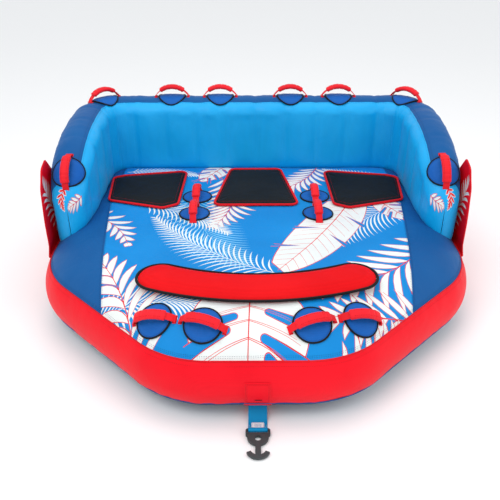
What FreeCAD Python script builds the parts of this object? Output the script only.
import FreeCAD, Part
import math
import os
import Sketcher
from FreeCAD import Vector, Placement, Rotation

# Three-rider towable tube: an inflated deck hull with rounded sides, a
# U-shaped inflated backrest with sloping arms, padded seats, sixteen grips
# with knuckle guards, and a webbing tow strap with a quick-connect hook.
# +Z is up, the front (tow end) faces -Y, and the hull stands on z = 0.

doc = FreeCAD.newDocument("towable_tube")
os.makedirs("parts", exist_ok=True)

# ---------------------------------------------------------------- sizes
SIZES = [
    ("hull_half_width", 1040), ("hull_front", 847.5), ("hull_rear", 1033),
    ("hull_diagonal", 1220), ("hull_height", 420), ("hull_waist", 170),
    ("edge_in_top", 310), ("edge_in_bottom", 200),
    ("radius_front", 450), ("radius_side", 500), ("radius_rear", 342),
    ("cover_thick", 3), ("bladder_thick", 3), ("layer_gap", 0.3),
    ("seam_high", 290), ("seam_low", 92),
    ("print_half_front", 612), ("print_half_rear", 760),
    ("wall_half_x", 910), ("wall_rear_y", 900), ("wall_radius", 185),
    ("wall_thick", 200), ("wall_top", 812), ("wall_round", 80),
    ("strip_drop", 44), ("wall_floor", 230),
    ("pad_thick", 22), ("pad_round", 8), ("pad_piping", 7), ("pad_piping_high", 8),
    ("leg_pad_thick", 44), ("leg_pad_round", 16), ("leg_pad_radius", 1060),
    ("leg_pad_width", 196), ("leg_pad_angle", 28),
    ("disc_radius", 72.5), ("disc_thick", 10), ("disc_piping", 5), ("disc_piping_high", 8),
    ("grip_radius_in", 112.5), ("grip_radius_out", 115.5), ("grip_half_angle", 51.5),
    ("grip_web_width", 24), ("sleeve_radius_in", 104), ("sleeve_radius_out", 124),
    ("sleeve_half_angle", 30), ("sleeve_width", 40), ("sleeve_round", 7),
    ("grip_centre_drop", 70), ("grip_lift", 11.5),
    ("anchor_thick", 3), ("anchor_start", 83.5), ("anchor_end", 99), ("anchor_width", 38),
    ("strap_width", 76), ("strap_thick", 5), ("loop_in", 6.8), ("loop_out", 9.6),
    ("label_width", 50), ("label_long", 34), ("label_thick", 1.2),
    ("hook_thick", 10), ("hook_width", 97), ("hook_frame_long", 38), ("hook_disc", 42),
    ("hook_hole", 13), ("hook_slot_wide", 80), ("hook_slot_high", 14),
    ("hook_neck", 22), ("hook_horn_in", 30), ("hook_horn_out", 48), ("hook_horn_angle", 68),
    ("flange_radius", 36), ("flange_thick", 15), ("flange_recess", 10),
    ("recess_radius", 27), ("valve_bore", 15), ("insert_radius", 14.7), ("insert_rim", 22),
    ("insert_rim_thick", 4), ("insert_long", 22), ("insert_hole", 9), ("cap_radius", 18.5),
    ("cap_thick", 4.6), ("cover_window", 47),
    ("zip_half", 470), ("zip_high", 30), ("zip_thick", 1.5), ("coil_high", 6), ("coil_thick", 3),
    ("slider_long", 26), ("slider_high", 13), ("slider_thick", 7),
    ("pull_wide", 8), ("pull_long", 34), ("pull_thick", 2),
    ("eyelet_out", 10), ("eyelet_in", 5), ("wing_thick", 5),
]
sheet = doc.addObject("Spreadsheet::Sheet", "Sizes")
for row, (alias, value) in enumerate(SIZES, start=1):
    sheet.set("A%d" % row, alias)
    sheet.set("B%d" % row, str(value))
    sheet.setAlias("B%d" % row, alias)
doc.recompute()


def size(alias):
    return float(sheet.get(alias))


made = []


def feature(label, shape):
    """A sub-part whose surface is neither a prism nor a primitive."""
    obj = doc.addObject("Part::Feature", label)
    obj.Label = label
    obj.Shape = shape
    obj.Placement = Placement()
    made.append(obj)
    return obj


# ---------------------------------------------------------------- hull form
def hull_corners():
    """Corner centres and radii of the plan outline, going anticlockwise."""
    half, front, rear = size("hull_half_width"), size("hull_front"), size("hull_rear")
    diag = size("hull_diagonal")
    corner_x = diag - front
    side_y = half - diag
    points = [(corner_x, -front), (half, side_y), (half, rear),
              (-half, rear), (-half, side_y), (-corner_x, -front)]
    radii = [size("radius_front"), size("radius_side"), size("radius_rear"),
             size("radius_rear"), size("radius_side"), size("radius_front")]
    return points, radii


def rounded_stations(points, radii):
    """For each corner of a convex outline: centre, radius, normal before, normal after."""
    count = len(points)
    normals = []
    for i in range(count):
        ax, ay = points[i]
        bx, by = points[(i + 1) % count]
        dx, dy = bx - ax, by - ay
        run = math.hypot(dx, dy)
        normals.append((dy / run, -dx / run))
    stations = []
    for i in range(count):
        n0, n1 = normals[i - 1], normals[i]
        radius = radii[i]
        px, py = points[i]
        # the centre lies one radius inside both edges that meet here
        cosine = n0[0] * n1[0] + n0[1] * n1[1]
        k = radius / (1.0 + cosine)
        cx = px - k * (n0[0] + n1[0])
        cy = py - k * (n0[1] + n1[1])
        stations.append((Vector(cx, cy, 0), radius, Vector(n0[0], n0[1], 0), Vector(n1[0], n1[1], 0)))
    return stations


def outline_wire(stations, inset, z):
    edges = []
    count = len(stations)
    for i in range(count):
        centre, radius, n0, n1 = stations[i]
        reach = radius - inset
        p0 = centre + n0 * reach
        p1 = centre + n1 * reach
        middle = n0 + n1
        middle.normalize()
        pm = centre + middle * reach
        up = Vector(0, 0, z)
        edges.append(Part.Arc(p0 + up, pm + up, p1 + up).toShape())
        nxt = stations[(i + 1) % count]
        q = nxt[0] + nxt[2] * (nxt[1] - inset)
        if (q - p1).Length > 1e-6:
            edges.append(Part.makeLine(p1 + up, q + up))
    return Part.Wire(edges)


def hull(inset):
    """The hull's solid, drawn in all round by inset (negative grows it)."""
    stations = rounded_stations(*hull_corners())
    run_top, run_low = size("edge_in_top"), size("edge_in_bottom")
    top, waist = size("hull_height"), size("hull_waist")
    faces = []

    def section(centre, radius, normal):
        base = centre + normal * radius
        up_c = base - normal * run_top + Vector(0, 0, waist)
        low_c = base - normal * run_low + Vector(0, 0, waist)
        a1, b1 = run_top - inset, top - waist - inset
        a2, b2 = run_low - inset, waist - inset
        upper = Part.Ellipse(up_c + normal * a1, up_c + Vector(0, 0, b1), up_c)
        lower = Part.Ellipse(low_c + normal * a2, low_c - Vector(0, 0, b2), low_c)
        return [Part.ArcOfEllipse(upper, 0, math.pi / 2).toShape(),
                Part.ArcOfEllipse(lower, 0, math.pi / 2).toShape()]

    count = len(stations)
    for i in range(count):
        centre, radius, n0, n1 = stations[i]
        turn = math.degrees(math.acos(max(-1, min(1, n0.dot(n1)))))
        for edge in section(centre, radius, n0):
            faces += edge.revolve(centre, Vector(0, 0, 1), turn).Faces
        nxt = stations[(i + 1) % count]
        start = centre + n1 * radius
        end = nxt[0] + nxt[2] * nxt[1]
        run = end - start
        if run.Length > 1e-6:
            for edge in section(centre, radius, n1):
                faces += edge.extrude(run).Faces
    faces.append(Part.Face(outline_wire(stations, run_top, top - inset)))
    faces.append(Part.Face(outline_wire(stations, run_low, inset)))
    shell = Part.makeShell(faces)
    shell.sewShape()
    solid = Part.makeSolid(Part.Shell(shell.Faces))
    if solid.Volume < 0:
        solid.reverse()
    return solid


def slab(z0, z1):
    return Part.makeBox(3000, 3000, z1 - z0, Vector(-1500, -1500, z0))


def prism_xy(points, z0, z1):
    vs = [Vector(x, y, z0) for x, y in points]
    return Part.Face(Part.makePolygon(vs + [vs[0]])).extrude(Vector(0, 0, z1 - z0))


def prism_yz(points, x0, x1):
    vs = [Vector(x0, y, z) for y, z in points]
    return Part.Face(Part.makePolygon(vs + [vs[0]])).extrude(Vector(x1 - x0, 0, 0))


# ---------------------------------------------------------------- backrest form
# Stations along an arm: y, top height, wall thickness. The rear station is
# where the corner bend starts; the last one is the rounded nose.
def arm_stations():
    top, thick = size("wall_top"), size("wall_thick")
    start = size("wall_rear_y") - size("wall_radius")
    return [(start, top, thick), (600, top - 2, thick), (470, top - 12, thick),
            (360, top - 34, thick - 2), (260, top - 72, thick - 8), (180, top - 122, thick - 18),
            (120, top - 180, thick - 36), (80, top - 240, thick - 64), (58, top - 300, thick - 100)]


def wall_section(origin, across, half, top, inset):
    """Closed section: flat foot, upright sides and a half-elliptical top."""
    crown = size("wall_round") - inset
    half = half - inset
    foot = size("wall_floor")
    shoulder = top - size("wall_round")
    z = Vector(0, 0, 1)
    a = origin - across * half + z * foot
    b = origin - across * half + z * shoulder
    c = origin + across * half + z * shoulder
    d = origin + across * half + z * foot
    centre = origin + z * shoulder
    if half >= crown:
        ellipse = Part.Ellipse(centre + across * half, centre + z * crown, centre)
        arc = Part.ArcOfEllipse(ellipse, 0, math.pi).toShape()
    else:
        ellipse = Part.Ellipse(centre + z * crown, centre - across * half, centre)
        arc = Part.ArcOfEllipse(ellipse, -math.pi / 2, math.pi / 2).toShape()
    return Part.Wire([Part.makeLine(a, b), arc, Part.makeLine(c, d), Part.makeLine(d, a)])


def arm_solid(side, inset):
    x = size("wall_half_x") * side
    across = Vector(1, 0, 0)
    wires = []
    rows = arm_stations()
    for i, (y, top, thick) in enumerate(rows):
        if i == len(rows) - 1:
            y = y + inset
        wires.append(wall_section(Vector(x, y, 0), across, thick / 2, top, inset))
    loft = Part.makeLoft(wires, True, False)
    return loft


def corner_solid(side, inset, from_deg, to_deg):
    """Part of the corner bend, measured from the arm (0) to the back (90)."""
    radius = size("wall_radius")
    centre = Vector(side * (size("wall_half_x") - radius), size("wall_rear_y") - radius, 0)
    out = Vector(side, 0, 0)
    section = Part.Face(wall_section(centre + out * radius, out, size("wall_thick") / 2, size("wall_top"), inset))
    if from_deg:
        section.rotate(centre, Vector(0, 0, 1), side * from_deg)
    return section.revolve(centre, Vector(0, 0, 1), side * (to_deg - from_deg))


def back_solid(inset):
    x = size("wall_half_x") - size("wall_radius")
    section = Part.Face(wall_section(Vector(-x, size("wall_rear_y"), 0), Vector(0, 1, 0),
                                     size("wall_thick") / 2, size("wall_top"), inset))
    return section.extrude(Vector(2 * x, 0, 0))


def wall(inset):
    parts = [corner_solid(1, inset, 0, 90), arm_solid(1, inset), corner_solid(-1, inset, 0, 90),
             arm_solid(-1, inset)]
    return back_solid(inset).multiFuse(parts).removeSplitter()


# ---------------------------------------------------------------- shared solids
gap = size("layer_gap")
cover_t, bladder_t = size("cover_thick"), size("bladder_thick")
hull_out = hull(0)
hull_in = hull(cover_t)
hull_keep = hull(-gap)
wall_out = wall(0)
wall_in = wall(cover_t)
rear_y = size("hull_rear")

valve_hull = Vector(-330, rear_y + 6, size("hull_waist"))
valve_wall = Vector(-330, size("wall_rear_y") + size("wall_thick") / 2 + 6, 610)


def bore_y(at, radius):
    return Part.makeCylinder(radius, 120, at + Vector(0, -60, 0), Vector(0, 1, 0))


# ---------------------------------------------------------------- hull layers
cover = hull_out.cut(hull_in)
high, low = size("seam_high"), size("seam_low")

eyelets = [(-420, 620), (420, 620), (-420, -260), (420, -260)]
bottom = cover.common(slab(-10, low))
for ex, ey in eyelets:
    bottom = bottom.cut(Part.makeCylinder(size("eyelet_out"), 20, Vector(ex, ey, -10)))

# tow slot in the rim's underside, at the middle of the front
slot_s = 57.0
run_low, waist = size("edge_in_bottom"), size("hull_waist")
slot_y = -size("hull_front") + slot_s
slot_z = waist - waist * math.sqrt(1 - ((run_low - slot_s) / run_low) ** 2)
slot_n = Vector(0, -(run_low - slot_s) / run_low ** 2, -(waist - slot_z) / waist ** 2)
slot_n.normalize()
strap_pivot = Vector(0, slot_y, slot_z) + slot_n * 6.8
slot_box = Part.makeBox(84, 10, 60, Vector(-42, -5, -30))
slot_box.Placement = Placement(Vector(0, slot_y, slot_z),
                               Rotation(Vector(0, 0, 1), slot_n))
bottom = bottom.cut(slot_box)

bumper = cover.common(slab(low, high)).cut(bore_y(valve_hull, size("cover_window")))
top_cover = cover.common(slab(high, 500))
half_f, half_r = size("print_half_front"), size("print_half_rear")
print_zone = prism_xy([(-half_f, -900), (half_f, -900), (half_r, 300), (half_r, 800), (-half_r, 800), (-half_r, 300)], 200, 500)
deck = top_cover.common(print_zone)
sides = top_cover.cut(print_zone)
side_l = sides.common(Part.makeBox(1500, 3000, 600, Vector(-1500, -1500, 0)))
side_r = sides.common(Part.makeBox(1500, 3000, 600, Vector(0, -1500, 0)))

bladder = hull(cover_t + gap).cut(hull(cover_t + gap + bladder_t))
bladder = bladder.cut(bore_y(valve_hull, size("flange_radius")))

feature("hull_bladder", bladder)
feature("hull_bottom_cover", bottom)
feature("bumper_cover", bumper)
feature("deck_panel", deck)
feature("side_panel_left", side_l)
feature("side_panel_right", side_r)

# ---------------------------------------------------------------- backrest layers
wall_cover = wall_out.cut(wall_in).cut(hull_keep)
rows = arm_stations()
drop = size("strip_drop")
line = [(1200, rows[0][1] - drop)] + [(y, top - drop) for y, top, thick in rows[:-1]]
line += [(-120, rows[-2][1] - drop - 20)]
above = prism_yz(line + [(-120, 1200), (1200, 1200)], -1300, 1300)
strip = wall_cover.common(above)
below = wall_cover.cut(above)
inner_x, inner_y, inner_r = size("wall_half_x"), size("wall_rear_y"), size("wall_radius")
inside = rounded_stations([(inner_x, -400), (inner_x, inner_y), (-inner_x, inner_y), (-inner_x, -400)],
                          [10, inner_r, inner_r, 10])
inside = Part.Face(outline_wire(inside, 0, 0)).extrude(Vector(0, 0, 1200))
inner_panel = below.common(inside)
outer_panel = below.cut(inside).cut(bore_y(valve_wall, size("cover_window")))
feature("backrest_top_strip", strip)
feature("backrest_inner_panel", inner_panel)
feature("backrest_outer_panel", outer_panel)

d0, d1 = cover_t + gap, cover_t + gap + bladder_t
hull_gap_in = hull(-gap - bladder_t)
for side, word in ((-1, "left"), (1, "right")):
    outer = arm_solid(side, d0).fuse(corner_solid(side, d0, 0, 44.95)).cut(hull_keep)
    cavity = arm_solid(side, d1).fuse(corner_solid(side, d1, 0, 43.6)).cut(hull_gap_in)
    feature("backrest_bladder_" + word, outer.cut(cavity))
outer = back_solid(d0).multiFuse([corner_solid(1, d0, 45.05, 90), corner_solid(-1, d0, 45.05, 90)]).cut(hull_keep)
cavity = back_solid(d1).multiFuse([corner_solid(1, d1, 46.4, 90), corner_solid(-1, d1, 46.4, 90)]).cut(hull_gap_in)
feature("backrest_bladder_centre", outer.cut(cavity).cut(bore_y(valve_wall, size("flange_radius"))))

# side wings: fabric gussets from the hull seam up to the front of each arm
wing_x = size("wall_half_x") + size("wall_thick") / 2 + gap
wing_pts = [(10, 240), (18, 450), (38, 620), (84, 704), (160, 724), (262, 610), (340, 420), (360, 240)]
for side, word in ((-1, "left"), (1, "right")):
    x0 = side * wing_x
    x1 = side * (wing_x + size("wing_thick"))
    feature("side_wing_" + word, prism_yz(wing_pts, x0, x1).cut(hull_keep))


# ---------------------------------------------------------------- sketch helpers
def new_body(label):
    body = doc.addObject("PartDesign::Body", label)
    body.Label = label
    made.append(body)
    return body


def origin_plane(body, role):
    for item in body.Origin.OriginFeatures:
        if item.Role == role:
            return item
    raise RuntimeError("no plane " + role)


def new_sketch(body, role, name, offset=0.0, offset_expr=None):
    sk = body.newObject("Sketcher::SketchObject", name)
    sk.AttachmentSupport = [(origin_plane(body, role), "")]
    sk.MapMode = "FlatFace"
    sk.AttachmentOffset = Placement(Vector(0, 0, offset), Rotation())
    if offset_expr:
        sk.setExpression("AttachmentOffset.Base.z", offset_expr)
    return sk


def add_circle(sk, x, y, alias, tag):
    g = sk.addGeometry(Part.Circle(Vector(x, y, 0), Vector(0, 0, 1), size(alias)), False)
    if abs(x) < 1e-9 and abs(y) < 1e-9:
        sk.addConstraint(Sketcher.Constraint("Coincident", g, 3, -1, 1))
    else:
        if abs(x) < 1e-9:
            sk.addConstraint(Sketcher.Constraint("PointOnObject", g, 3, -2))
        else:
            sk.addConstraint(Sketcher.Constraint("DistanceX", -1, 1, g, 3, x))
        sk.addConstraint(Sketcher.Constraint("DistanceY", -1, 1, g, 3, y))
    c = sk.addConstraint(Sketcher.Constraint("Radius", g, size(alias)))
    sk.renameConstraint(c, tag)
    sk.setExpression("Constraints." + tag, "Sizes." + alias)
    return g


def add_rect(sk, cx, cy, wide_alias, high_alias, tag):
    w, h = size(wide_alias), size(high_alias)
    pts = [Vector(cx - w / 2, cy - h / 2, 0), Vector(cx + w / 2, cy - h / 2, 0),
           Vector(cx + w / 2, cy + h / 2, 0), Vector(cx - w / 2, cy + h / 2, 0)]
    ids = [sk.addGeometry(Part.LineSegment(pts[i], pts[(i + 1) % 4]), False) for i in range(4)]
    for i in range(4):
        sk.addConstraint(Sketcher.Constraint("Coincident", ids[i], 2, ids[(i + 1) % 4], 1))
    sk.addConstraint(Sketcher.Constraint("Horizontal", ids[0]))
    sk.addConstraint(Sketcher.Constraint("Horizontal", ids[2]))
    sk.addConstraint(Sketcher.Constraint("Vertical", ids[1]))
    sk.addConstraint(Sketcher.Constraint("Vertical", ids[3]))
    c = sk.addConstraint(Sketcher.Constraint("DistanceX", ids[0], 1, ids[0], 2, w))
    sk.renameConstraint(c, tag + "_wide")
    sk.setExpression("Constraints." + tag + "_wide", "Sizes." + wide_alias)
    c = sk.addConstraint(Sketcher.Constraint("DistanceY", ids[1], 1, ids[1], 2, h))
    sk.renameConstraint(c, tag + "_high")
    sk.setExpression("Constraints." + tag + "_high", "Sizes." + high_alias)
    sk.addConstraint(Sketcher.Constraint("DistanceX", -1, 1, ids[0], 1, cx - w / 2))
    sk.addConstraint(Sketcher.Constraint("DistanceY", -1, 1, ids[0], 1, cy - h / 2))
    return ids


def add_polygon(sk, points):
    n = len(points)
    ids = [sk.addGeometry(Part.LineSegment(Vector(*points[i], 0), Vector(*points[(i + 1) % n], 0)), False) for i in range(n)]
    for i in range(n):
        sk.addConstraint(Sketcher.Constraint("Coincident", ids[i], 2, ids[(i + 1) % n], 1))
    return ids


def add_sector(sk, cx, cy, r_in, r_out, a0, a1):
    """Ring sector between two angles in degrees, anticlockwise."""
    a0, a1 = math.radians(a0), math.radians(a1)
    c = Vector(cx, cy, 0)

    def at(r, a):
        return c + Vector(r * math.cos(a), r * math.sin(a), 0)
    n = Vector(0, 0, 1)
    o = sk.addGeometry(Part.ArcOfCircle(Part.Circle(c, n, r_out), a0, a1), False)
    e = sk.addGeometry(Part.LineSegment(at(r_out, a1), at(r_in, a1)), False)
    i = sk.addGeometry(Part.ArcOfCircle(Part.Circle(c, n, r_in), a0, a1), False)
    f = sk.addGeometry(Part.LineSegment(at(r_in, a0), at(r_out, a0)), False)
    sk.addConstraint(Sketcher.Constraint("Coincident", o, 2, e, 1))
    sk.addConstraint(Sketcher.Constraint("Coincident", e, 2, i, 2))
    sk.addConstraint(Sketcher.Constraint("Coincident", i, 1, f, 1))
    sk.addConstraint(Sketcher.Constraint("Coincident", f, 2, o, 1))
    return o, e, i, f


def bind_sector(sk, ids, in_alias, out_alias, tag):
    o, e, i, f = ids
    sk.addConstraint(Sketcher.Constraint("Coincident", o, 3, i, 3))
    c = sk.addConstraint(Sketcher.Constraint("Radius", o, size(out_alias)))
    sk.renameConstraint(c, tag + "_out")
    sk.setExpression("Constraints." + tag + "_out", "Sizes." + out_alias)
    c = sk.addConstraint(Sketcher.Constraint("Radius", i, size(in_alias)))
    sk.renameConstraint(c, tag + "_in")
    sk.setExpression("Constraints." + tag + "_in", "Sizes." + in_alias)


def pad(body, sk, expr, name, symmetric=False, back=False, kind="PartDesign::Pad"):
    item = body.newObject(kind, name)
    item.Profile = sk
    item.setExpression("Length", expr)
    if symmetric:
        if "SideType" in item.PropertiesList:
            item.SideType = "Symmetric"
        else:
            item.Midplane = True
    if back:
        item.Reversed = True
    sk.Visibility = False
    return item


def through(body, sk, name):
    item = body.newObject("PartDesign::Pocket", name)
    item.Profile = sk
    item.Type = 1
    if "SideType" in item.PropertiesList:
        item.SideType = "Symmetric"
    else:
        item.Midplane = True
    return item


def fillet(body, base, edges, expr, name):
    item = body.newObject("PartDesign::Fillet", name)
    item.Base = (base, edges)
    item.setExpression("Radius", expr)
    return item


# ---------------------------------------------------------------- seat pads
deck_z = size("hull_height") + gap


def rounded_wire(points, radius):
    """Closed plan wire with every corner rounded, for any turning direction."""
    n = len(points)
    cuts = []
    for i in range(n):
        p = Vector(*points[i], 0)
        a = (Vector(*points[i - 1], 0) - p)
        b = (Vector(*points[(i + 1) % n], 0) - p)
        a.normalize()
        b.normalize()
        half = math.acos(max(-1, min(1, a.dot(b)))) / 2
        back = radius / math.tan(half)
        c = (a + b)
        c.normalize()
        centre = p + c * (radius / math.sin(half))
        cuts.append((p + a * back, centre - c * radius, p + b * back))
    edges = []
    for i in range(n):
        s, m, e = cuts[i]
        edges.append(Part.Arc(s, m, e))
        edges.append(Part.LineSegment(e, cuts[(i + 1) % n][0]))
    return edges


def add_curves(sk, curves):
    ids = [sk.addGeometry(c, False) for c in curves]
    return ids


seat_outlines = {
    "centre": [(-220, 270), (220, 270), (143, 740), (-143, 740)],
    "left": [(-800, 620), (-772, 330), (-480, 236), (-405, 280), (-395, 710), (-740, 650)],
}
seat_outlines["right"] = [(-x, y) for x, y in reversed(seat_outlines["left"])]
for word in ("left", "centre", "right"):
    curves = rounded_wire(seat_outlines[word], 34)
    body = new_body("seat_pad_" + word)
    sk = new_sketch(body, "XY_Plane", "SeatOutline_" + word)
    add_curves(sk, curves)
    first = pad(body, sk, "Sizes.pad_thick", "SeatPad_" + word)
    body.Placement = Placement(Vector(0, 0, deck_z), Rotation())
    doc.recompute()
    tops = [i + 1 for i, e in enumerate(first.Shape.Edges)
            if abs(e.BoundBox.ZMin - size("pad_thick")) < 1e-6 and abs(e.BoundBox.ZMax - size("pad_thick")) < 1e-6]
    fillet(body, first, ["Edge%d" % i for i in tops], "Sizes.pad_round", "SeatRound_" + word)


def plan_ring(points, radius, wide, high, z):
    inner = Part.Wire([c.toShape() for c in rounded_wire(points, radius)])
    outer = inner.makeOffset2D(wide)
    ring = Part.Face(outer).cut(Part.Face(inner))
    solid = ring.extrude(Vector(0, 0, high))
    solid.translate(Vector(0, 0, z))
    return solid


rings = [plan_ring(seat_outlines[w], 34, size("pad_piping"), size("pad_piping_high"), deck_z) for w in ("left", "centre", "right")]
feature("seat_pad_piping", Part.makeCompound(rings))

# ---------------------------------------------------------------- leg pad
leg_c = (0.0, 550.0)
leg_r, leg_w = size("leg_pad_radius"), size("leg_pad_width")
leg_half = size("leg_pad_angle")


def band_edges(cx, cy, r, w, half_deg, z=0.0):
    """Arc band with round ends, centred on the line towards -Y."""
    c = Vector(cx, cy, z)

    def at(rad, deg):
        a = math.radians(-90 + deg)
        return c + Vector(rad * math.cos(a), rad * math.sin(a), 0)
    ro, ri = r + w / 2, r - w / 2
    edges = [Part.Arc(at(ro, -half_deg), at(ro, 0), at(ro, half_deg))]
    end = at(r, half_deg)
    tip = math.radians(-90 + half_deg)
    tang = Vector(-math.sin(tip), math.cos(tip), 0)
    edges.append(Part.Arc(at(ro, half_deg), end + tang * (w / 2), at(ri, half_deg)))
    edges.append(Part.Arc(at(ri, half_deg), at(ri, 0), at(ri, -half_deg)))
    end = at(r, -half_deg)
    tip = math.radians(-90 - half_deg)
    tang = Vector(math.sin(tip), -math.cos(tip), 0)
    edges.append(Part.Arc(at(ri, -half_deg), end + tang * (w / 2), at(ro, -half_deg)))
    return edges


leg_angle = leg_half - math.degrees(leg_w / 2 / leg_r)
body = new_body("leg_pad")
sk = new_sketch(body, "XY_Plane", "LegOutline")
add_curves(sk, band_edges(leg_c[0], leg_c[1], leg_r, leg_w, leg_angle))
first = pad(body, sk, "Sizes.leg_pad_thick", "LegPad")
body.Placement = Placement(Vector(0, 0, deck_z), Rotation())
doc.recompute()
tops = [i + 1 for i, e in enumerate(first.Shape.Edges)
        if e.BoundBox.ZMin > size("leg_pad_thick") - 1e-6]
fillet(body, first, ["Edge%d" % i for i in tops], "Sizes.leg_pad_round", "LegRound")
inner = Part.Wire([c.toShape() for c in band_edges(leg_c[0], leg_c[1], leg_r, leg_w, leg_angle, deck_z)])
outer = Part.Wire([c.toShape() for c in band_edges(leg_c[0], leg_c[1], leg_r, leg_w + 2 * size("pad_piping"), leg_angle, deck_z)])
ring = Part.Face(outer).cut(Part.Face(inner)).extrude(Vector(0, 0, size("pad_piping_high")))
feature("leg_pad_piping", ring)

# ---------------------------------------------------------------- grips and guards
def top_hit(solid, x, y):
    """Where a vertical line first meets the solid from above."""
    ray = Part.makeLine(Vector(x, y, 1200), Vector(x, y, 100)).common(solid)
    if not ray.Vertexes:
        raise RuntimeError("no surface under %.1f %.1f" % (x, y))
    return Vector(x, y, max(v.Point.z for v in ray.Vertexes))


def grip_frame(solid, x, y, direction):
    """Placement with X between the two anchors, Z off the surface, origin on the pivot line."""
    d = Vector(direction[0], direction[1], 0)
    d.normalize()
    side = Vector(-d.y, d.x, 0)
    centre = top_hit(solid, x, y)
    reach = 91.0
    ends = []
    for sign in (-1, 1):
        flat = reach
        for _ in range(8):
            p = top_hit(solid, x + sign * d.x * flat, y + sign * d.y * flat)
            flat = flat * reach / (p - centre).Length
        ends.append(p)
    along = ends[1] - ends[0]
    along.normalize()
    a = top_hit(solid, x + side.x * 20, y + side.y * 20)
    b = top_hit(solid, x - side.x * 20, y - side.y * 20)
    cross = a - b
    cross.normalize()
    normal = along.cross(cross)
    if normal.z < 0:
        normal = normal * -1
    normal.normalize()
    across = normal.cross(along)
    across.normalize()
    foot = (ends[0] + ends[1]) * 0.5
    origin = foot + normal * size("grip_lift")
    rot = Rotation(along, across, normal, "ZXY")
    return Placement(origin, rot), centre, normal, foot


front_dir = (200.0, 57.0)
nose_y = 150.0
deck_grips = [
    ("front_left_outer", -412, -640, (200, -57)), ("front_left_inner", -212, -697, (200, -57)),
    ("front_right_inner", 212, -697, (200, 57)), ("front_right_outer", 412, -640, (200, 57)),
    ("rear_left_front", -312, 180, (0, 1)), ("rear_left_back", -312, 380, (0, 1)),
    ("rear_right_front", 312, 180, (0, 1)), ("rear_right_back", 312, 380, (0, 1)),
]
mid = size("wall_half_x") - size("wall_radius")
bend = size("wall_radius") * math.cos(math.radians(45))
wall_grips = [
    ("back_left_outer", -475, size("wall_rear_y"), (1, 0)), ("back_left_inner", -200, size("wall_rear_y"), (1, 0)),
    ("back_right_inner", 200, size("wall_rear_y"), (1, 0)), ("back_right_outer", 475, size("wall_rear_y"), (1, 0)),
    ("corner_left", -(mid + bend), mid + bend, (1, 1)), ("corner_right", mid + bend, mid + bend, (1, -1)),
    ("arm_left", -size("wall_half_x"), nose_y, (0, 1)), ("arm_right", size("wall_half_x"), nose_y, (0, 1)),
]

disc_r, disc_t = size("disc_radius"), size("disc_thick")
ring_w, ring_h = size("disc_piping"), size("disc_piping_high")
anchor_t = size("anchor_thick")
groups = {}
frames = {}
for family, solid, form, items in (("deck", hull_out, hull, deck_grips), ("backrest", wall_out, wall, wall_grips)):
    keep = form(-gap)
    disc_layer = form(-gap - disc_t).cut(keep)
    ring_layer = form(-gap - ring_h).cut(keep)
    anchor_layer = form(-gap - anchor_t).cut(keep)
    discs, piping, anchors = [], [], []
    for name, gx, gy, direction in items:
        place, centre, normal, foot = grip_frame(solid, gx, gy, direction)
        frames[name] = place
        cyl = Part.makeCylinder(disc_r, 110, centre - normal * 55, normal)
        tube = Part.makeCylinder(disc_r + ring_w, 110, centre - normal * 55, normal).cut(
            Part.makeCylinder(disc_r + gap / 2, 110, centre - normal * 55, normal))
        discs.append(disc_layer.common(cyl))
        piping.append(ring_layer.common(tube))
        start, end, wide = size("anchor_start"), size("anchor_end"), size("anchor_width")
        for sign in (-1, 1):
            box = Part.makeBox(end - start, wide, 60, Vector(start if sign > 0 else -end, -wide / 2, -40))
            box.Placement = place
            anchors.append(anchor_layer.common(box))
    groups["knuckle_pads_" + family] = discs
    groups["knuckle_piping_" + family] = piping
    groups["grip_anchors_" + family] = anchors
for label, shapes in groups.items():
    pieces = []
    for s in shapes:
        big = max(s.Solids, key=lambda q: q.Volume)
        pieces.append(big)
    feature(label, Part.makeCompound(pieces))

# each grip: a webbing arch with a padded sleeve around its middle
drop_c = -size("grip_centre_drop")
for name, gx, gy, direction in deck_grips + wall_grips:
    body = new_body("grip_" + name)
    sk = new_sketch(body, "XZ_Plane", "Sleeve_" + name)
    a = size("sleeve_half_angle")
    ids = add_sector(sk, 0, drop_c, size("sleeve_radius_in"), size("sleeve_radius_out"), 90 - a, 90 + a)
    bind_sector(sk, ids, "sleeve_radius_in", "sleeve_radius_out", "sleeve")
    sleeve = pad(body, sk, "Sizes.sleeve_width", "SleevePad_" + name, symmetric=True)
    doc.recompute()
    arcs = [i + 1 for i, e in enumerate(sleeve.Shape.Edges) if isinstance(e.Curve, Part.Circle)]
    rounds = fillet(body, sleeve, ["Edge%d" % i for i in arcs], "Sizes.sleeve_round", "SleeveRound_" + name)
    sk = new_sketch(body, "XZ_Plane", "Web_" + name)
    a = size("grip_half_angle")
    ids = add_sector(sk, 0, drop_c, size("grip_radius_in"), size("grip_radius_out"), 90 - a, 90 + a)
    bind_sector(sk, ids, "grip_radius_in", "grip_radius_out", "web")
    pad(body, sk, "Sizes.grip_web_width", "WebPad_" + name, symmetric=True)
    body.Placement = frames[name]

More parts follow.
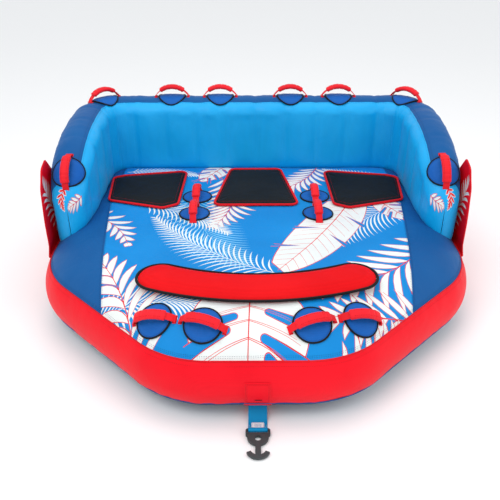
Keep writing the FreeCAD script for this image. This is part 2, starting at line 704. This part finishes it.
# ---------------------------------------------------------------- tow strap and hook
loop_y = -rear_y + 146.0
loop_z = size("loop_out") + 0.4
half_t = size("strap_thick") / 2
low_z = loop_z - size("loop_out") + half_t
px, pz = strap_pivot.y, strap_pivot.z
bend_y = px - 46
path = [(px, pz), (bend_y, low_z), (loop_y + 4, low_z)]
d1 = Vector(path[1][0] - path[0][0], path[1][1] - path[0][1], 0)
d1.normalize()
n1 = Vector(-d1.y, d1.x, 0)          # right-hand normal of the sloping run, in the (y, z) plane
mitre = math.tan((math.pi - math.acos(-d1.x)) / 2)
half_turn = math.acos(max(-1, min(1, -d1.x))) / 2
shift = half_t * math.tan(half_turn)
upper = [(px - n1.x * half_t, pz - n1.y * half_t), (bend_y - shift, low_z + half_t), (loop_y + 4, low_z + half_t)]
lower = [(loop_y + 4, low_z - half_t), (bend_y + shift, low_z - half_t), (px + n1.x * half_t, pz + n1.y * half_t)]
body = new_body("tow_strap")
sk = new_sketch(body, "YZ_Plane", "StrapRun")
add_polygon(sk, upper + lower)
pad(body, sk, "Sizes.strap_width", "StrapPad", symmetric=True)
sk = new_sketch(body, "YZ_Plane", "StrapLoop")
add_circle(sk, loop_y, loop_z, "loop_out", "loop")
pad(body, sk, "Sizes.strap_width", "LoopPad", symmetric=True)
sk = new_sketch(body, "YZ_Plane", "LoopEye")
add_circle(sk, loop_y, loop_z, "loop_in", "eye")
through(body, sk, "LoopPocket")

body = new_body("strap_label")
sk = new_sketch(body, "XY_Plane", "LabelOutline")
add_rect(sk, 0, 0, "label_width", "label_long", "label")
pad(body, sk, "Sizes.label_thick", "LabelPad")
body.Placement = Placement(Vector(0, loop_y + 27, low_z + half_t), Rotation())

body = new_body("tow_hook")
sk = new_sketch(body, "XY_Plane", "HookFrame")
add_rect(sk, 0, 4 - size("hook_frame_long") / 2, "hook_width", "hook_frame_long", "frame")
frame_pad = pad(body, sk, "Sizes.hook_thick", "HookFramePad", symmetric=True)
doc.recompute()
ups = [i + 1 for i, e in enumerate(frame_pad.Shape.Edges) if e.BoundBox.ZLength > 5]
fillet(body, frame_pad, ["Edge%d" % i for i in ups], "Sizes.hook_disc / 4.2", "HookFrameRound")
sk = new_sketch(body, "XY_Plane", "HookDisc")
add_circle(sk, 0, -38, "hook_disc", "disc")
pad(body, sk, "Sizes.hook_thick", "HookDiscPad", symmetric=True)
sk = new_sketch(body, "XY_Plane", "HookNeck")
w = size("hook_neck") / 2
add_polygon(sk, [(-w, -60), (-w, -132), (w, -132), (w, -60)])
pad(body, sk, "Sizes.hook_thick", "HookNeckPad", symmetric=True)
sk = new_sketch(body, "XY_Plane", "HookHorns")
a = size("hook_horn_angle")
ids = add_sector(sk, 0, -98, size("hook_horn_in"), size("hook_horn_out"), 270 - a, 270 + a)
bind_sector(sk, ids, "hook_horn_in", "hook_horn_out", "horn")
pad(body, sk, "Sizes.hook_thick", "HookHornPad", symmetric=True)
sk = new_sketch(body, "XY_Plane", "HookSlot")
add_rect(sk, 0, -4 - size("hook_slot_high") / 2, "hook_slot_wide", "hook_slot_high", "slot")
through(body, sk, "HookSlotPocket")
sk = new_sketch(body, "XY_Plane", "HookEye")
add_circle(sk, 0, -46, "hook_hole", "eye")
through(body, sk, "HookEyePocket")
body.Placement = Placement(Vector(0, loop_y, loop_z), Rotation())

# reinforcing patch around the slot and the sewn tab that comes out of it
patch_box = Part.makeBox(118, 120, 92, Vector(-59, slot_y - 70, slot_z - 26))
patch = hull(-1.8).cut(hull_keep).common(patch_box)
feature("tow_patch", max(patch.cut(slot_box).Solids, key=lambda q: q.Volume))
tab = Part.makeBox(size("strap_width"), size("strap_thick"), 9, Vector(-size("strap_width") / 2, -half_t, -6.0))
tab.Placement = Placement(Vector(0, slot_y, slot_z), Rotation(Vector(0, 0, 1), slot_n))
feature("tow_tab", tab.cut(hull(cover_t + gap)))


# ---------------------------------------------------------------- valves
def y_body(label, at):
    """Round piece on an axis along +Y: its sketches lie on XY and it is turned to face the rear."""
    body = new_body(label)
    body.Placement = Placement(at, Rotation(Vector(0, 0, 1), Vector(0, 1, 0)))
    return body


flange_shapes = []
flange_body_names = (("hull", valve_hull), ("backrest", valve_wall))
for word, at in flange_body_names:
    body = y_body("valve_body_" + word, at)
    sk = new_sketch(body, "XY_Plane", "Flange_" + word)
    add_circle(sk, 0, 0, "flange_radius", "flange")
    pad(body, sk, "Sizes.flange_thick", "FlangePad_" + word, back=True)
    sk = new_sketch(body, "XY_Plane", "Recess_" + word)
    add_circle(sk, 0, 0, "recess_radius", "recess")
    rec = pad(body, sk, "Sizes.flange_recess", "RecessPocket_" + word, kind="PartDesign::Pocket")
    sk = new_sketch(body, "XY_Plane", "Bore_" + word)
    add_circle(sk, 0, 0, "valve_bore", "bore")
    through(body, sk, "BorePocket_" + word)

    body = y_body("valve_insert_" + word, at)
    sk = new_sketch(body, "XY_Plane", "Rim_" + word, -5.7)
    add_circle(sk, 0, 0, "insert_rim", "rim")
    pad(body, sk, "Sizes.insert_rim_thick", "RimPad_" + word, back=True)
    sk = new_sketch(body, "XY_Plane", "Stem_" + word, -5.7)
    add_circle(sk, 0, 0, "insert_radius", "stem")
    pad(body, sk, "Sizes.insert_long", "StemPad_" + word, back=True)
    sk = new_sketch(body, "XY_Plane", "Hole_" + word)
    add_circle(sk, 0, 0, "insert_hole", "hole")
    through(body, sk, "HolePocket_" + word)

    body = y_body("valve_cap_" + word, at)
    sk = new_sketch(body, "XY_Plane", "CapDisc_" + word, -0.3)
    add_circle(sk, 0, 0, "cap_radius", "cap")
    pad(body, sk, "Sizes.cap_thick", "CapPad_" + word, back=True)

# ---------------------------------------------------------------- zipper on the back
zip_y = size("wall_rear_y") + size("wall_thick") / 2 + gap
zip_z = 480.0
half_len = size("zip_half")
tape = Part.makeBox(2 * half_len, size("zip_thick"), size("zip_high"), Vector(-half_len, zip_y, zip_z - size("zip_high") / 2))
coil = Part.makeBox(2 * half_len - 40, size("coil_thick"), size("coil_high"), Vector(-half_len + 20, zip_y, zip_z - size("coil_high") / 2))
feature("zipper_tape", tape.fuse(coil).removeSplitter())

slider_x = -half_len + 30 + size("slider_long") / 2
body = new_body("zipper_slider")
body.Placement = Placement(Vector(slider_x, zip_y + size("zip_thick") + 0.4, zip_z), Rotation())
sk = new_sketch(body, "YZ_Plane", "SliderSection")
st, sh = size("slider_thick"), size("slider_high") / 2
cg = size("coil_high") / 2 + 0.4
cd = size("coil_thick") - size("zip_thick")
add_polygon(sk, [(0, -sh), (st, -sh + 2), (st, sh - 2), (0, sh), (0, cg), (cd, cg), (cd, -cg), (0, -cg)])
pad(body, sk, "Sizes.slider_long", "SliderPad", symmetric=True)

body = new_body("zipper_pull")
pull_y = zip_y + size("zip_thick") + 0.4 + size("slider_thick") + 0.8 + size("pull_thick") / 2
body.Placement = Placement(Vector(slider_x, pull_y, zip_z - 2), Rotation())
sk = new_sketch(body, "XZ_Plane", "PullOutline")
add_rect(sk, 0, -size("pull_long") / 2 + 1, "pull_wide", "pull_long", "pull")
pad(body, sk, "Sizes.pull_thick", "PullPad", symmetric=True)

# ---------------------------------------------------------------- drain eyelets
shapes = []
for ex, ey in eyelets:
    ring = Part.makeCylinder(size("eyelet_out") - 0.1, cover_t - 0.5, Vector(ex, ey, 0.3)).cut(
        Part.makeCylinder(size("eyelet_in"), 20, Vector(ex, ey, -5)))
    shapes.append(ring)
feature("drain_eyelets", Part.makeCompound(shapes))

# ---------------------------------------------------------------- check and write
doc.recompute()
bad = []
for obj in doc.Objects:
    if "Invalid" in obj.State or "Error" in obj.State:
        bad.append("%s: %s" % (obj.Label, obj.State))
for obj in made:
    shape = obj.Shape
    if shape.isNull() or not shape.Solids:
        bad.append(obj.Label + ": empty")
    elif not shape.isValid():
        bad.append(obj.Label + ": not valid")
if bad:
    raise SystemExit("faults: " + "; ".join(bad))

cut_checks = {"valve_body_hull": math.pi * (size("flange_radius") ** 2 * size("flange_thick")
              - size("recess_radius") ** 2 * size("flange_recess")
              - size("valve_bore") ** 2 * (size("flange_thick") - size("flange_recess")))}
for label, wanted in cut_checks.items():
    got = doc.getObjectsByLabel(label)[0].Shape.Volume
    if abs(got - wanted) > 0.01 * wanted:
        raise SystemExit("%s: volume %.0f, wanted %.0f" % (label, got, wanted))

box = FreeCAD.BoundBox()
for obj in made:
    obj.Shape.exportStep("parts/%s.step" % obj.Label)
    box.add(obj.Shape.BoundBox)
    print("%-28s solids %2d  volume %12.0f" % (obj.Label, len(obj.Shape.Solids), obj.Shape.Volume))
print("nodes", len(made))
print("box", [round(v, 1) for v in (box.XMin, box.YMin, box.ZMin, box.XMax, box.YMax, box.ZMax)])
print("strap pivot", strap_pivot, "loop", loop_y, loop_z)
for name, place in frames.items():
    m = place.Rotation
    print("grip", name, [round(v, 2) for v in place.Base], [round(v, 4) for v in m.multVec(Vector(1, 0, 0))],
          [round(v, 4) for v in m.multVec(Vector(0, 0, 1))])
print("valves", valve_hull, valve_wall, "slider", slider_x, zip_y, zip_z, "pull", pull_y)
